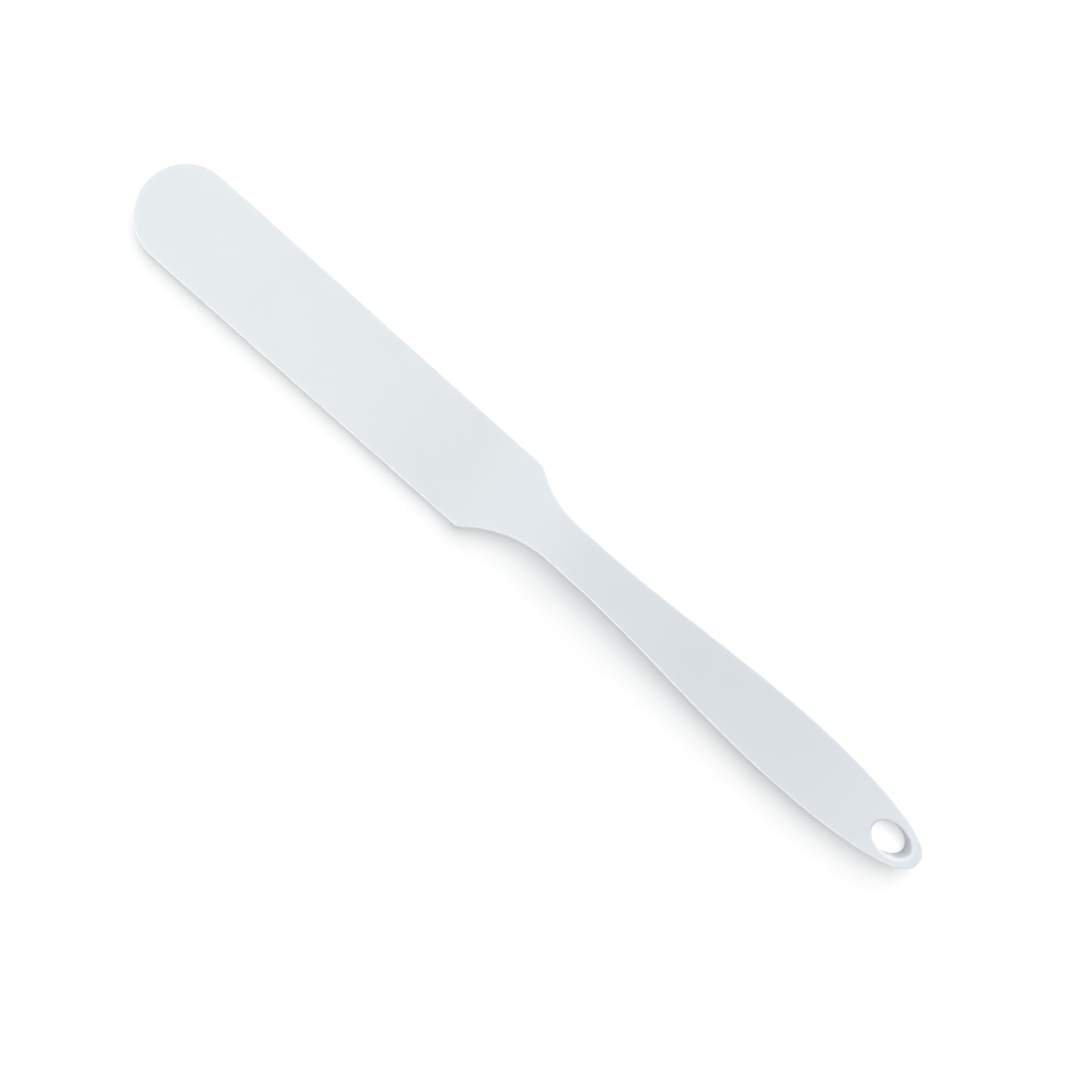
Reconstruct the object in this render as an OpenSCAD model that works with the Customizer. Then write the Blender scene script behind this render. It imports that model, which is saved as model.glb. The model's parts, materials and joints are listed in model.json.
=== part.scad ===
// Silicone spatula: a round-tipped flat blade, a narrow neck and a leaf-shaped grip with a hanging hole.
// A spring-steel strip and a hard core, riveted together, lie sealed inside one seamless skin.
// It lies on its flat back, with +X from the tip to the end of the grip and +Z up.

/* [Blade] */
// Length from the tip to where the shoulders end and the neck begins
blade_l = 145.2; // [120:0.1:180]
// Width just behind the round tip
blade_w = 28; // [25:0.1:40]
// Width between the long edges, carried on as far as the neck
blade_root_w = 27.2; // [25:0.1:40]
// Thickness of most of the blade
blade_t = 3.4; // [2.4:0.1:4.2]
// Thickness at the tip
tip_t = 2.7; // [1.8:0.1:4.2]
// Length over which the tip grows to the full thickness
tip_run = 32; // [16:1:60]
// Rounding of the upper blade edges, measured across the blade
blade_edge_r = 0.7; // [0.4:0.1:2.5]
// Rounding of the lower blade edges, measured across the blade
blade_under_r = 0.9; // [0.4:0.1:2.5]

/* [Shoulders and neck] */
// Radius of the hollow shoulder on the -Y side, between the blade and the neck
shoulder_r = 34; // [24:0.5:45]
// Radius of the hollow shoulder on the +Y side, which the neck leans to
lean_shoulder_r = 29; // [22:0.5:45]
// Easing of the shoulder corners
corner_ease = 1.1; // [0.3:0.1:3]
// Length of the even neck behind the shoulders
neck_l = 7; // [2:0.1:20]
// Width of the neck
neck_w = 12.4; // [11:0.1:18]
// Thickness of the neck
neck_t = 8.4; // [6.6:0.1:12]
// Length over which the blade thickens into the neck
ramp_l = 40; // [30:1:70]
// Sideways offset of the neck from the middle of the blade
neck_offset = 1.85; // [0:0.05:3]

/* [Grip] */
// Length from the shoulders to the end of the grip
grip_l = 124.8; // [100:0.1:180]
// Distance from the widest place of the grip to its end
belly_from_end = 44.5; // [34:0.5:60]
// Width of the grip at its widest place
belly_w = 19.4; // [16:0.1:28]
// Thickness of the grip at its widest place
belly_t = 6.2; // [5.4:0.1:10]
// Thickness at the end of the grip
end_t = 6; // [4:0.1:8]
// Sideways offset of the end of the grip from the middle of the blade
end_offset = 1.1; // [0:0.05:3]
// Fullness of the rounded end: 2 is an ellipse, more is blunter
end_fullness = 2.5; // [2:0.05:3.5]
// Width of the small flat at the very end
nose_flat = 0.6; // [0.4:0.1:4]
// Rounding of the upper grip edges, measured across the grip
grip_edge_r = 1.8; // [1:0.1:5]
// Rounding of the lower grip edges, measured across the grip
grip_under_r = 1.8; // [1:0.1:4]
// Rounding of the edges at the end of the grip
end_edge_r = 1.1; // [0.8:0.1:3]

/* [Hanging hole] */
// Length of the oval hole along the grip
hole_l = 12; // [8:0.1:16]
// Width of the oval hole
hole_w = 7.8; // [5:0.1:10]
// Distance from the middle of the hole to the end of the grip
hole_from_end = 9.4; // [7:0.1:20]

/* [Steel strip] */
// Thickness of the spring steel
strip_t = 0.6; // [0.4:0.1:1]
// Distance from the tip of the blade to the front of the strip
strip_from_tip = 18; // [8:0.5:40]
// Width of the strip inside the blade
strip_w = 18; // [12:0.5:20]
// Width of the tang under the core
tang_w = 7; // [5.5:0.1:8]
// Length over which the strip narrows to the tang
taper_l = 16; // [10:1:24]
// Diameter of the lock holes that the silicone runs through
lock_d = 4; // [2:0.1:6]
// Spacing of the lock holes
lock_pitch = 20; // [12:1:40]

/* [Core and rivets] */
// Distance that the core reaches forward of the neck
core_lead = 12; // [6:0.5:16]
// Silicone on each side of the core
side_wall = 1.7; // [1.2:0.1:2.2]
// Silicone over the core
top_wall = 1.5; // [1:0.1:2]
// Silicone between the core and the hanging hole
hole_wall = 2.8; // [1.5:0.1:8]
// Length of the rounded back end of the core
core_nose_l = 8; // [3:0.5:12]
// Diameter of the rivet shanks
rivet_d = 2.5; // [1.6:0.1:3]
// Diameter of the rivet heads
rivet_head_d = 4.2; // [3.4:0.1:5]
// Thickness of the rivet heads
rivet_head_h = 0.5; // [0.3:0.05:0.6]
// Depth of the upper rivet heads below the top of the core
rivet_sink = 0.7; // [0.4:0.1:1.2]
// Distance from each end of the lap to the nearest rivet
rivet_inset = 6; // [4:0.5:10]
// Distance between the rivets
rivet_pitch = 12; // [8:0.5:20]
// Radial clearance of the rivets in the core and the tang
rivet_gap = 0.05; // [0.02:0.01:0.1]

/* [Hidden] */

silicone_colour = [0.88, 0.91, 0.92];
steel_colour = [0.72, 0.73, 0.75];
nylon_colour = [0.90, 0.88, 0.83];

// Distances along the spatula, from the tip
overall_l = blade_l + grip_l;
tip_r = blade_w / 2;
shoulder_x = blade_l - max(shoulder_r, lean_shoulder_r);
swell_x = blade_l + neck_l;
belly_x = overall_l - belly_from_end;
ramp_x = swell_x - ramp_l;
hole_x = overall_l - hole_from_end;
core_x0 = blade_l - core_lead;
core_x1 = hole_x - hole_l / 2 - hole_wall;
tang_x1 = core_x0 + 2 * rivet_inset + rivet_pitch;
taper_x = core_x0 - taper_l;
strip_x = strip_from_tip + strip_w / 2;

// Heights of the strip, which lies half way up the blade
strip_z0 = (blade_t - strip_t) / 2;
strip_z1 = strip_z0 + strip_t;

// Height of the widest line round the edge, as a share of the thickness
parting_share = 0.42;
// Least rounding and least half width of the core
core_least_r = 0.5;
core_least_half = 1.2;
// Overlap of the cutting solids past the faces that they cut
cut = 1;
// Step along the grip over which the slope of its end is measured
slope_step = 0.01;

// Numbers of steps along and around the lofted solids
tip_first_angle = 4;
tip_steps = 12;
blade_steps = 10;
shoulder_steps = 38;
swell_steps = 18;
end_last_angle = 89;
end_steps = 24;
over_steps = 5;
under_steps = 3;
core_steps = 24;
core_nose_steps = 6;
hole_sides = 48;
$fn = 48;

function mix(a, b, u) = a + (b - a) * u;
function ease(u) = let (v = min(max(u, 0), 1)) v * v * (3 - 2 * v);
function eased(a, b, u) = mix(a, b, ease(u));
function soft_min(a, b, k) = let (h = max(k - abs(a - b), 0)) min(a, b) - h * h / (4 * k);

// Half widths, thicknesses and roundings at a distance x from the tip
function blade_half(x) = mix(blade_w, blade_root_w, (x - tip_r) / (blade_l - tip_r)) / 2;
function shoulder_out(x, r) =
    let (d = min(max(blade_l - x, 0), r))
    r - sqrt(r * r - d * d);
function end_half(u) =
    mix(nose_flat, belly_w, pow(max(1 - u * u, 0), 1 / end_fullness)) / 2;
function grip_half(x) =
    x > belly_x ? end_half((x - belly_x) / belly_from_end)
                : eased(neck_w, belly_w, (x - swell_x) / (belly_x - swell_x)) / 2;
function middle(x) = mix(neck_offset, end_offset, min(max((x - blade_l) / grip_l, 0), 1));
function side_half(x, side) =
    let (grip = grip_half(x) + side * middle(x))
    let (r = side > 0 ? lean_shoulder_r : shoulder_r)
    x > blade_l ? grip : soft_min(blade_half(x), grip + shoulder_out(x, r), corner_ease);

function along(x, blade, neck, belly, end) =
    x < swell_x ? eased(blade, neck, (x - ramp_x) / ramp_l)
  : x < belly_x ? eased(neck, belly, (x - swell_x) / (belly_x - swell_x))
                : eased(belly, end, (x - belly_x) / belly_from_end);
function thickness(x) =
    x < tip_run ? eased(tip_t, blade_t, x / tip_run) : along(x, blade_t, neck_t, belly_t, end_t);
function over_r(x) = along(x, blade_edge_r, grip_edge_r, grip_edge_r, end_edge_r);
function under_r(x) = along(x, blade_under_r, grip_under_r, grip_under_r, end_edge_r);

// A station is [left point, right point, left normal, right normal, low z, high z, upper and lower rounding]
function station(x, left, right, normal) =
    [[x, left], [x, -right], normal, [normal[0], -normal[1]],
     0, thickness(x), over_r(x), under_r(x)];
function end_slope(x) = (grip_half(x) - grip_half(x - slope_step)) / slope_step;
function end_normal(x) = let (s = end_slope(x)) [-s, 1] / norm([-s, 1]);

skin_stations = [
    for (i = [0 : tip_steps])
        let (a = mix(tip_first_angle, 90, i / tip_steps))
        station(tip_r * (cos(tip_first_angle) - cos(a)), tip_r * sin(a), tip_r * sin(a), [-cos(a), sin(a)]),
    for (i = [1 : blade_steps])
        let (x = mix(tip_r, shoulder_x, i / blade_steps))
        station(x, side_half(x, 1), side_half(x, -1), [0, 1]),
    for (i = [1 : shoulder_steps])
        let (x = mix(shoulder_x, blade_l, i / shoulder_steps))
        station(x, side_half(x, 1), side_half(x, -1), [0, 1]),
    for (i = [1 : swell_steps])
        let (x = mix(blade_l, belly_x, i / swell_steps))
        station(x, side_half(x, 1), side_half(x, -1), [0, 1]),
    for (i = [1 : end_steps])
        let (u = sin(end_last_angle * i / end_steps) / sin(end_last_angle))
        let (x = belly_x + belly_from_end * u)
        station(x, side_half(x, 1), side_half(x, -1), end_normal(x))
];

function core_half(x) = grip_half(x) - side_wall;
function core_station(x, half) =
    [[x, middle(x) + half], [x, middle(x) - half], [0, 1], [0, -1],
     strip_z1, thickness(x) - top_wall,
     min(max(over_r(x) - side_wall, core_least_r), half),
     min(max(under_r(x) - side_wall, core_least_r), half)];

core_stations = [
    for (i = [0 : core_steps])
        let (x = mix(core_x0, core_x1 - core_nose_l, i / core_steps))
        core_station(x, core_half(x)),
    for (i = [1 : core_nose_steps])
        let (a = 90 * i / core_nose_steps)
        let (x = core_x1 - core_nose_l * (1 - sin(a)))
        core_station(x, max(core_half(x) * cos(a), core_least_half))
];

// One side of a ring, from the lower rim up over the widest line to the upper rim
function ring_side(point, normal, low, high, over, under) =
    let (widest = mix(low, high, parting_share))
    [for (k = [-under_steps : over_steps])
        let (a = 90 * k / (k < 0 ? under_steps : over_steps))
        let (inset = (k < 0 ? under : over) * (1 - cos(a)))
        let (rise = (k < 0 ? widest - low : high - widest) * sin(a))
        [point[0] - normal[0] * inset, point[1] - normal[1] * inset, widest + rise]];
function ring(s) =
    let (left = ring_side(s[0], s[2], s[4], s[5], s[6], s[7]))
    let (right = ring_side(s[1], s[3], s[4], s[5], s[6], s[7]))
    [for (p = left) p, for (k = [len(right) - 1 : -1 : 0]) right[k]];

// A closed solid through a row of stations, with every face a triangle
module loft(stations) {
    n = 2 * (over_steps + under_steps + 1);
    last = (len(stations) - 1) * n;
    points = [for (s = stations) for (p = ring(s)) p];
    walls = [for (i = [0 : len(stations) - 2]) for (j = [0 : n - 1])
        let (a = i * n + j, b = i * n + (j + 1) % n)
        each [[a, a + n, b], [b, a + n, b + n]]];
    front = [for (j = [0 : n / 2 - 2])
        each [[j, j + 1, n - 1 - j], [j + 1, n - 2 - j, n - 1 - j]]];
    back = [for (f = front) [f[0] + last, f[2] + last, f[1] + last]];
    polyhedron(points, concat(front, walls, back), convexity = 6);
}

// The frame's origin is under the middle of the whole spatula
module placed() {
    translate([-overall_l / 2, 0, 0]) children();
}

module at_rivets() {
    for (x = [core_x0 + rivet_inset, core_x0 + rivet_inset + rivet_pitch])
        translate([x, middle(x), 0]) {
            $core_top = thickness(x) - top_wall;
            children();
        }
}

module core_blank() {
    loft(core_stations);
}

// Space in the core above each upper rivet head, which the silicone fills
module rivet_pockets(from_head = 0) {
    at_rivets()
        translate([0, 0, $core_top - rivet_sink - from_head])
            cylinder(d = rivet_head_d + 2 * rivet_gap, h = rivet_sink + from_head + cut);
}

module hanging_hole() {
    translate([hole_x, middle(hole_x), -cut])
        linear_extrude(max(belly_t, end_t) + 2 * cut)
            polygon([for (i = [0 : hole_sides - 1])
                let (a = 360 * i / hole_sides)
                [hole_l / 2 * cos(a), hole_w / 2 * sin(a)]]);
}

module strip_solid() {
    y = middle(core_x0);
    lock_count = floor((taper_x - strip_x) / lock_pitch);
    difference() {
        translate([0, 0, strip_z0]) linear_extrude(strip_t) union() {
            translate([strip_x, 0]) circle(d = strip_w);
            polygon([
                [strip_x, strip_w / 2],
                [strip_x, -strip_w / 2],
                [taper_x, -strip_w / 2],
                [core_x0, y - tang_w / 2],
                [tang_x1, y - tang_w / 2],
                [tang_x1, y + tang_w / 2],
                [core_x0, y + tang_w / 2],
                [taper_x, strip_w / 2]
            ]);
        }
        for (i = [0 : lock_count])
            translate([strip_x + i * lock_pitch, 0, strip_z0 - cut])
                cylinder(d = lock_d, h = strip_t + 2 * cut);
    }
}

module rivet_lower_heads() {
    at_rivets() translate([0, 0, strip_z0 - rivet_head_h]) cylinder(d = rivet_head_d, h = rivet_head_h);
}

module rivet_bores() {
    at_rivets() cylinder(d = rivet_d + 2 * rivet_gap, h = neck_t);
}

module silicone_skin() {
    color(silicone_colour) placed() difference() {
        loft(skin_stations);
        difference() {
            core_blank();
            rivet_pockets();
        }
        strip_solid();
        rivet_lower_heads();
        hanging_hole();
    }
}

module blade_strip() {
    color(steel_colour) placed() difference() {
        strip_solid();
        rivet_bores();
    }
}

module handle_core() {
    color(nylon_colour) placed() difference() {
        core_blank();
        rivet_bores();
        rivet_pockets(rivet_head_h);
    }
}

module core_rivets() {
    color(steel_colour) placed() {
        rivet_lower_heads();
        at_rivets() {
            translate([0, 0, strip_z0 - rivet_head_h / 2])
                cylinder(d = rivet_d, h = $core_top - rivet_sink - strip_z0);
            translate([0, 0, $core_top - rivet_sink - rivet_head_h])
                cylinder(d = rivet_head_d, h = rivet_head_h);
        }
    }
}

silicone_skin();
blade_strip();
handle_core();
core_rivets();
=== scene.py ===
import json
import math

import bmesh
import bpy
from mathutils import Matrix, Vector


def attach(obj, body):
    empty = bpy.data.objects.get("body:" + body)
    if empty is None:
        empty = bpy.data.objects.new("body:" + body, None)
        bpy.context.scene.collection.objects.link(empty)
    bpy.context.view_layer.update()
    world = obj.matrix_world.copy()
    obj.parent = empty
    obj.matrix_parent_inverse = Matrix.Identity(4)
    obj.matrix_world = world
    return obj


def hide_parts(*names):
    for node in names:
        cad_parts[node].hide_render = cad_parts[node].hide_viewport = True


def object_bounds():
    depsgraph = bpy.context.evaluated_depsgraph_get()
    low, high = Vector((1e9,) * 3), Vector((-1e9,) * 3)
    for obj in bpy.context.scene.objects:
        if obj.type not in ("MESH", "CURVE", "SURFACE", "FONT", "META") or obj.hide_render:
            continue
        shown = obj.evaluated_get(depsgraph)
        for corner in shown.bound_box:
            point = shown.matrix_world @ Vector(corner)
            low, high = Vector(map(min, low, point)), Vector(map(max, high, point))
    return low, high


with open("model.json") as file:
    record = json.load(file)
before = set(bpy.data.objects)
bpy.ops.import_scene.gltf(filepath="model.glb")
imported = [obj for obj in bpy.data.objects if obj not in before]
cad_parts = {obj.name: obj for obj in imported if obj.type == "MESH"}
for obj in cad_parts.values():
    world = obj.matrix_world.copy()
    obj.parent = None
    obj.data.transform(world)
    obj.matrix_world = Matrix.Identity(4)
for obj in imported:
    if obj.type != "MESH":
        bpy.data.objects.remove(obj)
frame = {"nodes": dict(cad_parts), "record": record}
cad_low, cad_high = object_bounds()

MM = 0.001

# Plan of the spatula. Distances along it run from the tip of the blade
OVERALL_L = cad_high.x - cad_low.x
BLADE_L = 145.2 * MM
BLADE_W = cad_high.y - cad_low.y
BLADE_ROOT_W = 27.2 * MM
TIP_R = BLADE_W / 2
SHOULDER_R = 34 * MM
LEAN_SHOULDER_R = 29 * MM
CORNER_EASE = 1.1 * MM
NECK_L = 7 * MM
NECK_W = 12.4 * MM
NECK_OFFSET = 1.85 * MM
GRIP_L = OVERALL_L - BLADE_L
BELLY_FROM_END = 44.5 * MM
BELLY_W = 19.4 * MM
END_OFFSET = 1.1 * MM
END_FULLNESS = 2.5
NOSE_FLAT = 0.4 * MM
SWELL = BLADE_L + NECK_L
BELLY = OVERALL_L - BELLY_FROM_END
HOLE_L = 12 * MM
HOLE_W = 7.8 * MM

# Thickness of the moulding, and the rounding of its edges
TIP_T = 2.7 * MM
TIP_RUN = 32 * MM
BLADE_T = 3.4 * MM
NECK_T = cad_high.z - cad_low.z
BELLY_T = 6.2 * MM
END_T = 6 * MM
RAMP_L = 40 * MM
RAMP = SWELL - RAMP_L
BLADE_OVER_R = 0.4 * MM
BLADE_UNDER_R = 0.85 * MM
NECK_OVER_R = 0.55 * MM
NECK_UNDER_R = 1.3 * MM
BELLY_OVER_R = 0.6 * MM
BELLY_UNDER_R = 1.8 * MM
END_OVER_R = 0.55 * MM
END_UNDER_R = 0.8 * MM
HOLE_OVER_R = 1.0 * MM
HOLE_UNDER_R = 0.4 * MM
ROUND_STEPS = 8
BLADE_CROWN = 0.06 * MM
GRIP_CROWN = 0.25 * MM
END_CROWN = 0.15 * MM
CROWN_POWER = 4

# Fine raised line where the two halves of the mould meet
PARTING_SHARE = 0.43
PARTING_H = 0.06 * MM
PARTING_FOOT = 0.15 * MM
PARTING_CREST = 0.06 * MM
PARTING_LEVELS = (-PARTING_FOOT, -PARTING_CREST, PARTING_CREST, PARTING_FOOT)

# Rows and columns of the flat plan sheet. Both shoulder corners lie between the two corner places
CORNERS_START = 118 * MM
CORNERS_END = 130 * MM
RING_FROM_HOLE = 9 * MM
COLUMNS = 8
TIP_STEPS = 36
NOSE_STEPS = 40
LEVEL_STEP = 1 * MM

# How near two places count as one, how upright the normal of a flat face is at least,
# and how far the wall of the hole reaches, as a squared share of the oval
MERGE_GAP = 0.002 * MM
FLAT_NORMAL = 0.7
HOLE_REACH = 1.1

# Tints of the silicone along the spatula, from the tip, with painted light and shade in them: darker
# over the neck and grip, lighter at the tip and the end, standing in for how the light falls along it
PAINTED_SHADE_TINTS = (
    (0, (0.75, 0.79, 0.80)),
    (BLADE_L / 2, (0.75, 0.78, 0.79)),
    (RAMP, (0.72, 0.75, 0.77)),
    (SWELL, (0.70, 0.73, 0.76)),
    ((SWELL + BELLY) / 2, (0.68, 0.71, 0.74)),
    (BELLY, (0.68, 0.71, 0.74)),
    (OVERALL_L, (0.73, 0.76, 0.79)),
)
SILICONE_IOR = 1.41
SILICONE_GLEAM = 0.3
SILICONE_SCATTER = 0.5
SILICONE_DEPTH = 1.2 * MM
NYLON_SCATTER = 0.15
NYLON_DEPTH = 1 * MM

# Pale floor, and an oval of it under the hole that glows brighter as painted light over the shadow
# inside the hole. Both glow only where they are seen
FLOOR_SIZE = 6.0
FLOOR_SHADE = 0.91
FLOOR_GLOW = 0.22
HOLE_FLOOR_SHADE = 0.9
HOLE_FLOOR_GLOW = 0.38
OVAL_SIDES = 48

# Light: a soft sky, a wide key, and a weak fill and a low edge light on the silicone alone
SKY_LIGHT = 0.12
KEY_POWER = 3.14
FILL_POWER = 0.85
EDGE_POWER = 9.5
SUN_DISTANCE = 1.0

# Camera straight above the part, with its width of view at a level just above the floor
CAMERA_CENTRE = (5.3 * MM, -1.63 * MM)
CAMERA_HEIGHT = 300 * MM
CAMERA_TURN = math.radians(41.75)
CAMERA_NEAREST = 10 * MM
SENSOR_WIDTH = 36
VIEW_WIDTH = 284.7 * MM
VIEW_LEVEL = 2 * MM


def mount_place(name):
    """Gives the place of one of the part's mounts."""
    for mount in frame["record"]["mounts"]:
        if mount["name"] == name:
            return Vector(mount["pos_m"])
    raise ValueError("no mount named " + name)


HOLE_PLACE = mount_place("hanging_hole")
RING = HOLE_PLACE.x - cad_low.x - RING_FROM_HOLE

# Stretches of the plan sheet behind the round tip: where each one ends, and how many rows it takes
STRETCHES = (
    (BLADE_L - SHOULDER_R, 10),
    (CORNERS_START, 5),
    (CORNERS_END, 24),
    (SWELL, 16),
    (RING, 44),
)


def mix(a, b, share):
    """Gives the value at a share of the way from a to b."""
    return a + (b - a) * share


def clamp(value, low, high):
    """Keeps a value between two limits."""
    return max(low, min(high, value))


def eased(a, b, share):
    """Goes from a to b with a level start and a level end."""
    share = clamp(share, 0, 1)
    return mix(a, b, share * share * (3 - 2 * share))


def soft_min(a, b, reach):
    """Gives the lesser of two values, with the corner between them eased."""
    overlap = max(reach - abs(a - b), 0)
    return min(a, b) - overlap * overlap / (4 * reach)


def grip_half(s):
    """Half width of the neck and grip, at a distance from the tip."""
    if s <= BELLY:
        return eased(NECK_W, BELLY_W, (s - SWELL) / (BELLY - SWELL)) / 2
    share = min((s - BELLY) / (BELLY_FROM_END - PARTING_H), 1)
    return mix(NOSE_FLAT, BELLY_W, (1 - share * share) ** (1 / END_FULLNESS)) / 2


def middle(s):
    """Sideways place of the neck's and the grip's centre line."""
    return mix(NECK_OFFSET, END_OFFSET, clamp((s - BLADE_L) / GRIP_L, 0, 1))


def edge(s, side):
    """Place of the moulded edge on one side, 1 or -1, without the parting line that stands on it."""
    grip = grip_half(s) + side * middle(s)
    if s > BLADE_L:
        return side * (grip - PARTING_H)
    blade = mix(BLADE_W, BLADE_ROOT_W, (s - TIP_R) / (BLADE_L - TIP_R)) / 2
    radius = LEAN_SHOULDER_R if side > 0 else SHOULDER_R
    back = clamp(BLADE_L - s, 0, radius)
    shoulder = radius - math.sqrt(radius ** 2 - back ** 2)
    return side * (soft_min(blade, grip + shoulder, CORNER_EASE) - PARTING_H)


def along(s, blade, neck, belly, end):
    """Runs a size smoothly along the spatula through its values at four places."""
    if s < SWELL:
        return eased(blade, neck, (s - RAMP) / RAMP_L)
    if s < BELLY:
        return eased(neck, belly, (s - SWELL) / (BELLY - SWELL))
    return eased(belly, end, (s - BELLY) / BELLY_FROM_END)


def thickness(s):
    """Thickness of the moulding on its centre line."""
    if s < TIP_RUN:
        return eased(TIP_T, BLADE_T, s / TIP_RUN)
    return along(s, BLADE_T, NECK_T, BELLY_T, END_T)


def over_round(s):
    """Rounding of the upper edge. It thins out with the tip."""
    radius = along(s, BLADE_OVER_R, NECK_OVER_R, BELLY_OVER_R, END_OVER_R)
    return radius * min(thickness(s) / BLADE_T, 1)


def under_round(s):
    """Rounding of the lower edge. It thins out with the tip too."""
    radius = along(s, BLADE_UNDER_R, NECK_UNDER_R, BELLY_UNDER_R, END_UNDER_R)
    return radius * min(thickness(s) / BLADE_T, 1)


def top(place):
    """Height of the upper face: the thickness, less a slight crown towards the two edges."""
    s = place.x - cad_low.x
    half = (edge(s, 1) - edge(s, -1)) / 2
    centre = (edge(s, 1) + edge(s, -1)) / 2
    share = clamp((place.y - centre) / max(half, MERGE_GAP), -1, 1)
    crown = along(s, BLADE_CROWN, GRIP_CROWN, GRIP_CROWN, END_CROWN)
    return thickness(s) - crown * share ** CROWN_POWER


def parting_height(place):
    """Height of the parting line on the wall at a place."""
    return PARTING_SHARE * thickness(place.x - cad_low.x)


def deselect_objects():
    """Leaves no object selected."""
    bpy.ops.object.select_all(action="DESELECT")


def open_mesh(piece):
    """Enters edit mode on one piece, picking single vertices."""
    bpy.context.view_layer.objects.active = piece
    bpy.ops.object.mode_set(mode="EDIT")
    bpy.ops.mesh.select_mode(type="VERT")


def close_mesh():
    """Leaves edit mode."""
    bpy.ops.object.mode_set(mode="OBJECT")


def pick(piece, wanted):
    """Selects the vertices of a piece whose places pass a test, and no others."""
    mesh = bmesh.from_edit_mesh(piece.data)
    for face in mesh.faces:
        face.select_set(False)
    for line in mesh.edges:
        line.select_set(False)
    for vertex in mesh.verts:
        vertex.select_set(wanted(vertex.co))
    mesh.select_flush_mode()
    bmesh.update_edit_mesh(piece.data)


def pick_all(piece):
    """Selects the whole mesh of a piece."""
    pick(piece, lambda place: True)


def near(a, b):
    """Says whether two lengths are the same place."""
    return abs(a - b) < MERGE_GAP


def apply_modifier(piece, modifier):
    """Makes a modifier's shape the piece's own."""
    bpy.context.view_layer.objects.active = piece
    bpy.ops.object.modifier_apply(modifier=modifier.name)


def row_places():
    """Distances from the tip of the rows that cross the plan sheet."""
    places = [TIP_R]
    for end, count in STRETCHES:
        start = places[-1]
        places += [mix(start, end, step / count) for step in range(1, count + 1)]
    return places


def lay_blade_and_grip(sheet, rows):
    """Extrudes the sheet row by row, from the centre of the round tip to the ring around the hole."""
    first, second = rows[:2]
    bpy.ops.transform.resize(value=(second - first, 2 * edge(first, 1), 1), center_override=(0, 0, 0))
    bpy.ops.transform.translate(value=(cad_low.x + (first + second) / 2, 0, 0))
    pick(sheet, lambda place: near(place.x, cad_low.x + second))
    for start, end in zip(rows[1:], rows[2:]):
        low, high = edge(end, -1), edge(end, 1)
        old_low, old_high = edge(start, -1), edge(start, 1)
        shift = (low + high - old_low - old_high) / 2
        if start == second:
            old_low, old_high = edge(first, -1), edge(first, 1)
        bpy.ops.mesh.extrude_edges_move(TRANSFORM_OT_translate={"value": (end - start, shift, 0)})
        bpy.ops.transform.resize(
            value=(1, (high - low) / (old_high - old_low), 1),
            center_override=(cad_low.x + end, (low + high) / 2, 0),
        )


def spin_tip(sheet):
    """Turns half of the first row about the centre of the tip, for its half round."""
    centre = cad_low.x + TIP_R
    pick(sheet, lambda place: near(place.x, centre) and place.y > -MERGE_GAP)
    bpy.ops.mesh.spin(steps=TIP_STEPS, angle=-math.pi, center=(centre, 0, 0), axis=(0, 0, 1))


def ring_hole(sheet):
    """Runs the outline round the nose, then extrudes that loop inwards to the oval hole."""
    end = OVERALL_L - PARTING_H
    shares = [(1 - step / NOSE_STEPS) ** END_FULLNESS for step in range(1, NOSE_STEPS + 1)]
    places = [end - (end - RING) * share for share in shares]
    route = [(s, edge(s, 1)) for s in places] + [(s, edge(s, -1)) for s in reversed(places)]
    last = (RING, edge(RING, 1))
    pick(sheet, lambda place: near(place.x, cad_low.x + RING) and near(place.y, last[1]))
    for stop in route:
        step = (stop[0] - last[0], stop[1] - last[1], 0)
        bpy.ops.mesh.extrude_vertices_move(TRANSFORM_OT_translate={"value": step})
        last = stop
    end_step = (RING - last[0], edge(RING, -1) - last[1], 0)
    bpy.ops.mesh.extrude_vertices_move(TRANSFORM_OT_translate={"value": end_step})
    pick_all(sheet)
    bpy.ops.mesh.remove_doubles(threshold=MERGE_GAP)
    pick(sheet, lambda place: place.x > cad_low.x + RING - MERGE_GAP)
    bpy.ops.mesh.extrude_edges_move(TRANSFORM_OT_translate={"value": (0, 0, 0)})
    bpy.ops.transform.tosphere(value=1)
    loop = [vertex.co for vertex in bmesh.from_edit_mesh(sheet.data).verts if vertex.select]
    centre = (Vector(map(min, zip(*loop))) + Vector(map(max, zip(*loop)))) / 2
    radius = (loop[0] - centre).length
    size = (HOLE_L / 2 / radius, HOLE_W / 2 / radius, 1)
    bpy.ops.transform.resize(value=size, center_override=centre)
    bpy.ops.transform.translate(value=(HOLE_PLACE.x - centre.x, HOLE_PLACE.y - centre.y, 0))
    pick_all(sheet)
    bpy.ops.mesh.normals_make_consistent(inside=False)


def raise_levels(sheet):
    """Extrudes the sheet up level by level and gives each level its height."""
    uppermost = len(PARTING_LEVELS) + 1
    pick_all(sheet)
    for _ in range(uppermost):
        bpy.ops.mesh.extrude_region_move(TRANSFORM_OT_translate={"value": (0, 0, LEVEL_STEP)})
    mesh = bmesh.from_edit_mesh(sheet.data)
    for vertex in mesh.verts:
        level = round(vertex.co.z / LEVEL_STEP)
        if level == uppermost:
            vertex.co.z = top(vertex.co)
        elif level > 0:
            vertex.co.z = parting_height(vertex.co) + PARTING_LEVELS[level - 1]
    bmesh.update_edit_mesh(sheet.data)
    pick_all(sheet)
    bpy.ops.mesh.normals_make_consistent(inside=False)


def in_hole(place):
    """Says whether a place is on the wall of the hanging hole."""
    x = (place.x - HOLE_PLACE.x) / (HOLE_L / 2)
    y = (place.y - HOLE_PLACE.y) / (HOLE_W / 2)
    return x * x + y * y < HOLE_REACH


def raise_parting_line(skin):
    """Pushes the two middle levels of the outer wall out, for the line that the mould leaves."""

    def on_crest(place):
        from_line = abs(place.z - parting_height(place))
        return near(from_line, PARTING_CREST) and not in_hole(place)

    pick(skin, on_crest)
    bpy.ops.transform.shrink_fatten(value=PARTING_H)


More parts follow.
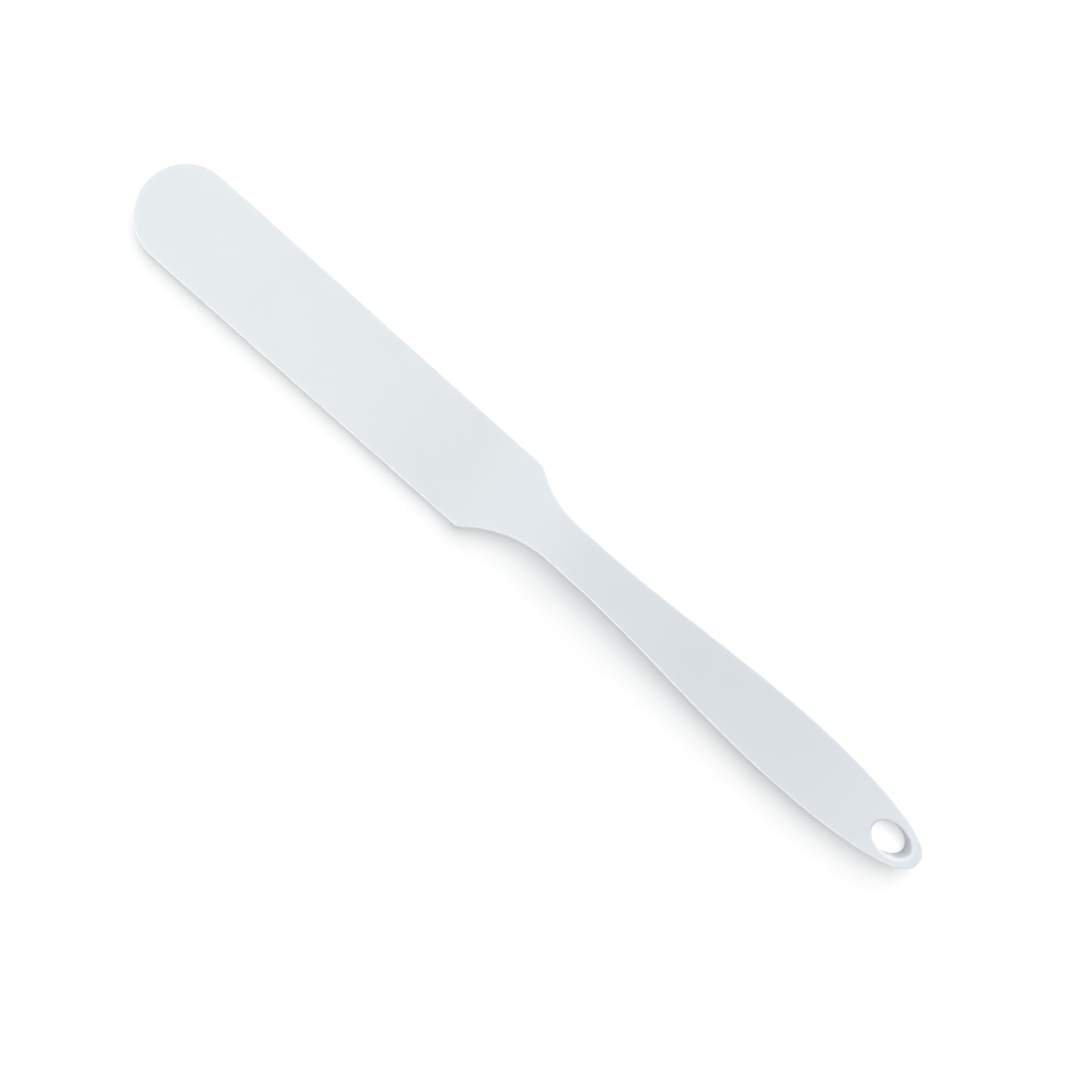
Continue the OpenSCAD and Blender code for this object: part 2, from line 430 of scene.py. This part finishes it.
def round_edges(skin):
    """Rounds the upper edge, the lower edge and both lips of the hole, each by its own radius."""
    widest = BELLY_UNDER_R
    mesh = bmesh.new()
    mesh.from_mesh(skin.data)
    weight = mesh.edges.layers.float.new("bevel_weight_edge")
    for line in mesh.edges:
        tilts = [abs(face.normal.z) for face in line.link_faces]
        if max(tilts) < FLAT_NORMAL or min(tilts) > FLAT_NORMAL:
            continue
        place = (line.verts[0].co + line.verts[1].co) / 2
        s = place.x - cad_low.x
        upper = place.z > thickness(s) / 2
        if in_hole(place):
            line[weight] = (HOLE_OVER_R if upper else HOLE_UNDER_R) / widest
        else:
            line[weight] = (over_round(s) if upper else under_round(s)) / widest
    mesh.to_mesh(skin.data)
    mesh.free()
    rounding = skin.modifiers.new("Rounded edges", "BEVEL")
    rounding.limit_method = "WEIGHT"
    rounding.width = widest
    rounding.segments = ROUND_STEPS
    rounding.use_clamp_overlap = False
    apply_modifier(skin, rounding)


def model_skin():
    """Models the whole silicone moulding as one closed skin."""
    deselect_objects()
    bpy.ops.mesh.primitive_grid_add(x_subdivisions=1, y_subdivisions=COLUMNS, size=1)
    skin = bpy.context.object
    skin.name = "silicone_moulding"
    open_mesh(skin)
    lay_blade_and_grip(skin, row_places())
    spin_tip(skin)
    ring_hole(skin)
    raise_levels(skin)
    raise_parting_line(skin)
    close_mesh()
    round_edges(skin)
    bpy.ops.object.shade_smooth()
    even = skin.modifiers.new("Even normals", "WEIGHTED_NORMAL")
    apply_modifier(skin, even)
    return skin


class Finish:
    """A new procedural material, with short ways to add and join its nodes."""

    def __init__(self, name):
        self.material = bpy.data.materials.new(name)
        self.material.use_nodes = True
        self.tree = self.material.node_tree
        self.shader = self.tree.nodes["Principled BSDF"]

    def add(self, kind, **values):
        """Adds a node and sets its own values."""
        node = self.tree.nodes.new(kind)
        for name, value in values.items():
            setattr(node, name, value)
        return node

    def join(self, source, target):
        """Links one socket to another."""
        self.tree.links.new(source, target)

    def place(self):
        """Gives the place on the piece, in metres."""
        return self.add("ShaderNodeTexCoord").outputs["Object"]

    def noise(self, vector, scale, detail=3.0, roughness=0.5):
        """Adds a noise and gives its value from 0 to 1."""
        node = self.add("ShaderNodeTexNoise")
        node.inputs["Scale"].default_value = scale
        node.inputs["Detail"].default_value = detail
        node.inputs["Roughness"].default_value = roughness
        self.join(vector, node.inputs["Vector"])
        return node.outputs["Fac"]

    def ramp(self, source, stops):
        """Turns a value into a colour by stops of position and colour."""
        node = self.add("ShaderNodeValToRGB")
        elements = node.color_ramp.elements
        while len(elements) < len(stops):
            elements.new(0.5)
        for element, (position, colour) in zip(elements, stops):
            element.position = position
            element.color = (*colour, 1)
        self.join(source, node.inputs["Fac"])
        return node.outputs["Color"]

    def spread(self, source, low, high, from_low=0.0, from_high=1.0):
        """Spreads a value over a new range."""
        node = self.add("ShaderNodeMapRange")
        node.inputs["From Min"].default_value = from_low
        node.inputs["From Max"].default_value = from_high
        node.inputs["To Min"].default_value = low
        node.inputs["To Max"].default_value = high
        self.join(source, node.inputs["Value"])
        return node.outputs["Result"]

    def tint(self, colour, amount):
        """Multiplies a colour by an amount."""
        node = self.add("ShaderNodeMix", data_type="RGBA", blend_type="MULTIPLY")
        node.inputs["Factor"].default_value = 1.0
        self.join(colour, node.inputs["A"])
        self.join(amount, node.inputs["B"])
        return node.outputs["Result"]

    def bump(self, height, strength, depth):
        """Lets a height bend the shader's normal."""
        node = self.add("ShaderNodeBump")
        node.inputs["Strength"].default_value = strength
        node.inputs["Distance"].default_value = depth
        self.join(height, node.inputs["Height"])
        self.join(node.outputs["Normal"], self.shader.inputs["Normal"])


def satin_silicone():
    """Pale blue-grey silicone with painted light and shade along its length, and a fine satin texture
    from the mould.
    """
    finish = Finish("satin_silicone")
    place = finish.place()
    split = finish.add("ShaderNodeSeparateXYZ")
    finish.join(place, split.inputs["Vector"])
    length = finish.spread(split.outputs["X"], low=0, high=1, from_low=cad_low.x, from_high=cad_high.x)
    # The colour along the length is painted light and shade, not a change in the silicone itself
    base = finish.ramp(length, [(s / OVERALL_L, tint) for s, tint in PAINTED_SHADE_TINTS])
    cloud = finish.spread(finish.noise(place, scale=45, detail=2.0), low=0.985, high=1.015)
    finish.join(finish.tint(base, cloud), finish.shader.inputs["Base Color"])
    grain = finish.noise(place, scale=2600, detail=2.0, roughness=0.6)
    finish.join(finish.spread(grain, low=0.58, high=0.7), finish.shader.inputs["Roughness"])
    finish.bump(grain, strength=0.12, depth=0.03 * MM)
    finish.shader.inputs["IOR"].default_value = SILICONE_IOR
    finish.shader.inputs["Specular IOR Level"].default_value = SILICONE_GLEAM
    finish.shader.inputs["Subsurface Weight"].default_value = SILICONE_SCATTER
    finish.shader.inputs["Subsurface Radius"].default_value = (1.0, 1.0, 1.0)
    finish.shader.inputs["Subsurface Scale"].default_value = SILICONE_DEPTH
    return finish.material


def rolled_steel():
    """Spring steel with fine rolling lines along the strip."""
    finish = Finish("rolled_spring_steel")
    stretch = finish.add("ShaderNodeMapping")
    stretch.inputs["Scale"].default_value = (40, 2500, 2500)
    finish.join(finish.place(), stretch.inputs["Vector"])
    lines = finish.noise(stretch.outputs["Vector"], scale=1, detail=4.0, roughness=0.6)
    colour = finish.ramp(lines, ((0.3, (0.50, 0.51, 0.53)), (0.7, (0.64, 0.65, 0.67))))
    finish.join(colour, finish.shader.inputs["Base Color"])
    finish.join(finish.spread(lines, low=0.28, high=0.42), finish.shader.inputs["Roughness"])
    finish.bump(lines, strength=0.15, depth=0.02 * MM)
    finish.shader.inputs["Metallic"].default_value = 1.0
    return finish.material


def moulded_nylon():
    """Uncoloured nylon with a faint cloud and the fine skin of an injection mould."""
    finish = Finish("moulded_nylon")
    place = finish.place()
    cloud = finish.noise(place, scale=120)
    colour = finish.ramp(cloud, ((0.3, (0.74, 0.71, 0.63)), (0.7, (0.81, 0.78, 0.71))))
    finish.join(colour, finish.shader.inputs["Base Color"])
    grain = finish.noise(place, scale=1800, detail=2.0)
    finish.join(finish.spread(grain, low=0.45, high=0.6), finish.shader.inputs["Roughness"])
    finish.bump(grain, strength=0.15, depth=0.03 * MM)
    finish.shader.inputs["Subsurface Weight"].default_value = NYLON_SCATTER
    finish.shader.inputs["Subsurface Scale"].default_value = NYLON_DEPTH
    return finish.material


def peened_steel():
    """Rivet steel, dimpled by the peening."""
    finish = Finish("peened_rivet_steel")
    cells = finish.add("ShaderNodeTexVoronoi")
    cells.inputs["Scale"].default_value = 1500
    finish.join(finish.place(), cells.inputs["Vector"])
    dimples = cells.outputs["Distance"]
    # Painted shade: the steel is darker towards the bottom of each dimple
    colour = finish.ramp(dimples, ((0.1, (0.54, 0.54, 0.55)), (0.8, (0.66, 0.66, 0.67))))
    finish.join(colour, finish.shader.inputs["Base Color"])
    finish.join(finish.spread(dimples, low=0.3, high=0.45), finish.shader.inputs["Roughness"])
    finish.bump(dimples, strength=0.3, depth=0.05 * MM)
    finish.shader.inputs["Metallic"].default_value = 1.0
    return finish.material


def dress(piece, material):
    """Gives a piece one material all over."""
    piece.data.materials.clear()
    piece.data.materials.append(material)


def seen_directly(tree):
    """Gives a socket that is 1 for what the camera sees straight, mirrored or through glass."""
    path = tree.nodes.new("ShaderNodeLightPath")
    total = path.outputs["Is Camera Ray"]
    for name in ("Is Glossy Ray", "Is Transmission Ray"):
        either = tree.nodes.new("ShaderNodeMath")
        either.operation = "MAXIMUM"
        tree.links.new(total, either.inputs[0])
        tree.links.new(path.outputs[name], either.inputs[1])
        total = either.outputs[0]
    return total


def pale_floor(name, shade, glow):
    """A matt floor without a gleam, which glows only where it is seen."""
    finish = Finish(name)
    finish.shader.inputs["Base Color"].default_value = (shade, shade, shade, 1)
    finish.shader.inputs["Roughness"].default_value = 1.0
    finish.shader.inputs["Specular IOR Level"].default_value = 0.0
    finish.shader.inputs["Emission Color"].default_value = (1, 1, 1, 1)
    strength = finish.spread(seen_directly(finish.tree), low=0, high=glow)
    finish.join(strength, finish.shader.inputs["Emission Strength"])
    return finish.material


def lay_floor():
    """Lays a plain floor."""
    deselect_objects()
    bpy.ops.mesh.primitive_plane_add(size=FLOOR_SIZE)
    floor = bpy.context.object
    floor.name = "studio_floor"
    dress(floor, pale_floor("pale_floor", FLOOR_SHADE, FLOOR_GLOW))


def lay_floor_under_hole():
    """Lays an oval of floor that shows through the hanging hole, brighter than the floor around it as
    painted light over the shadow in the hole.
    """
    deselect_objects()
    bpy.ops.mesh.primitive_circle_add(vertices=OVAL_SIDES, radius=0.5, fill_type="NGON")
    oval = bpy.context.object
    oval.name = "floor_under_hole"
    open_mesh(oval)
    pick_all(oval)
    bpy.ops.transform.resize(value=(HOLE_L, HOLE_W, 1), center_override=(0, 0, 0))
    bpy.ops.transform.translate(value=(HOLE_PLACE.x, HOLE_PLACE.y, MERGE_GAP))
    close_mesh()
    dress(oval, pale_floor("hole_floor_painted_light", HOLE_FLOOR_SHADE, HOLE_FLOOR_GLOW))


def light_sky():
    """Lights all sides softly, with a white background where it is seen."""
    world = bpy.data.worlds.new("soft_sky")
    bpy.context.scene.world = world
    world.use_nodes = True
    tree = world.node_tree
    strength = tree.nodes.new("ShaderNodeMapRange")
    strength.inputs["To Min"].default_value = SKY_LIGHT
    tree.links.new(seen_directly(tree), strength.inputs["Value"])
    sky = tree.nodes["Background"]
    sky.inputs["Color"].default_value = (1, 1, 1, 1)
    tree.links.new(strength.outputs["Result"], sky.inputs["Strength"])


def add_item(name, data):
    """Adds an object to the scene for new lamp or camera data."""
    item = bpy.data.objects.new(name, data)
    bpy.context.collection.objects.link(item)
    return item


def aim(lamp, turn, rise, distance):
    """Hangs a lamp so that it faces the part, at a turn and a rise seen from it."""
    turn, rise = math.radians(turn), math.radians(rise)
    way = Vector((math.cos(rise) * math.cos(turn), math.cos(rise) * math.sin(turn), math.sin(rise)))
    lamp.location = way * distance
    lamp.rotation_euler = way.to_track_quat("Z", "Y").to_euler()


def sun_light(name, power, spread, turn, rise):
    """Adds an even light from one side, soft because it comes from a wide spread of angles."""
    data = bpy.data.lights.new(name, "SUN")
    data.angle = math.radians(spread)
    data.energy = power
    lamp = add_item(name, data)
    aim(lamp, turn, rise, SUN_DISTANCE)
    return lamp


def soft_light(name, power, width, height, turn, rise, distance):
    """Adds a soft panel that faces the part."""
    data = bpy.data.lights.new(name, "AREA")
    data.shape = "RECTANGLE"
    data.size = width
    data.size_y = height
    data.energy = power
    lamp = add_item(name, data)
    aim(lamp, turn, rise, distance)
    return lamp


def light_only(lamp, piece):
    """Lets a lamp light one piece and nothing else."""
    lit = bpy.data.collections.new(lamp.name + "_lights")
    lit.objects.link(piece)
    lamp.light_linking.receiver_collection = lit


def hang_camera():
    """Hangs the camera above the part, turned so that the tip is at the upper left."""
    data = bpy.data.cameras.new("camera")
    data.sensor_width = SENSOR_WIDTH
    data.lens = SENSOR_WIDTH * (CAMERA_HEIGHT - VIEW_LEVEL) / VIEW_WIDTH
    data.clip_start = CAMERA_NEAREST
    camera = add_item("camera", data)
    camera.location = (*CAMERA_CENTRE, CAMERA_HEIGHT)
    camera.rotation_euler = (0, 0, CAMERA_TURN)
    bpy.context.scene.camera = camera


skin = model_skin()
dress(skin, satin_silicone())
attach(skin, "root")
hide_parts("silicone_skin")
dress(frame["nodes"]["blade_strip"], rolled_steel())
dress(frame["nodes"]["handle_core"], moulded_nylon())
dress(frame["nodes"]["core_rivets"], peened_steel())

lay_floor()
lay_floor_under_hole()
light_sky()
sun_light("key", KEY_POWER, spread=80, turn=95, rise=50)
fill = sun_light("fill", FILL_POWER, spread=30, turn=215, rise=25)
light_only(fill, skin)
low_edge = soft_light("edge_light", EDGE_POWER, width=1.8, height=0.2, turn=265, rise=3, distance=0.8)
light_only(low_edge, skin)
hang_camera()
bpy.context.scene.view_settings.view_transform = "Standard"
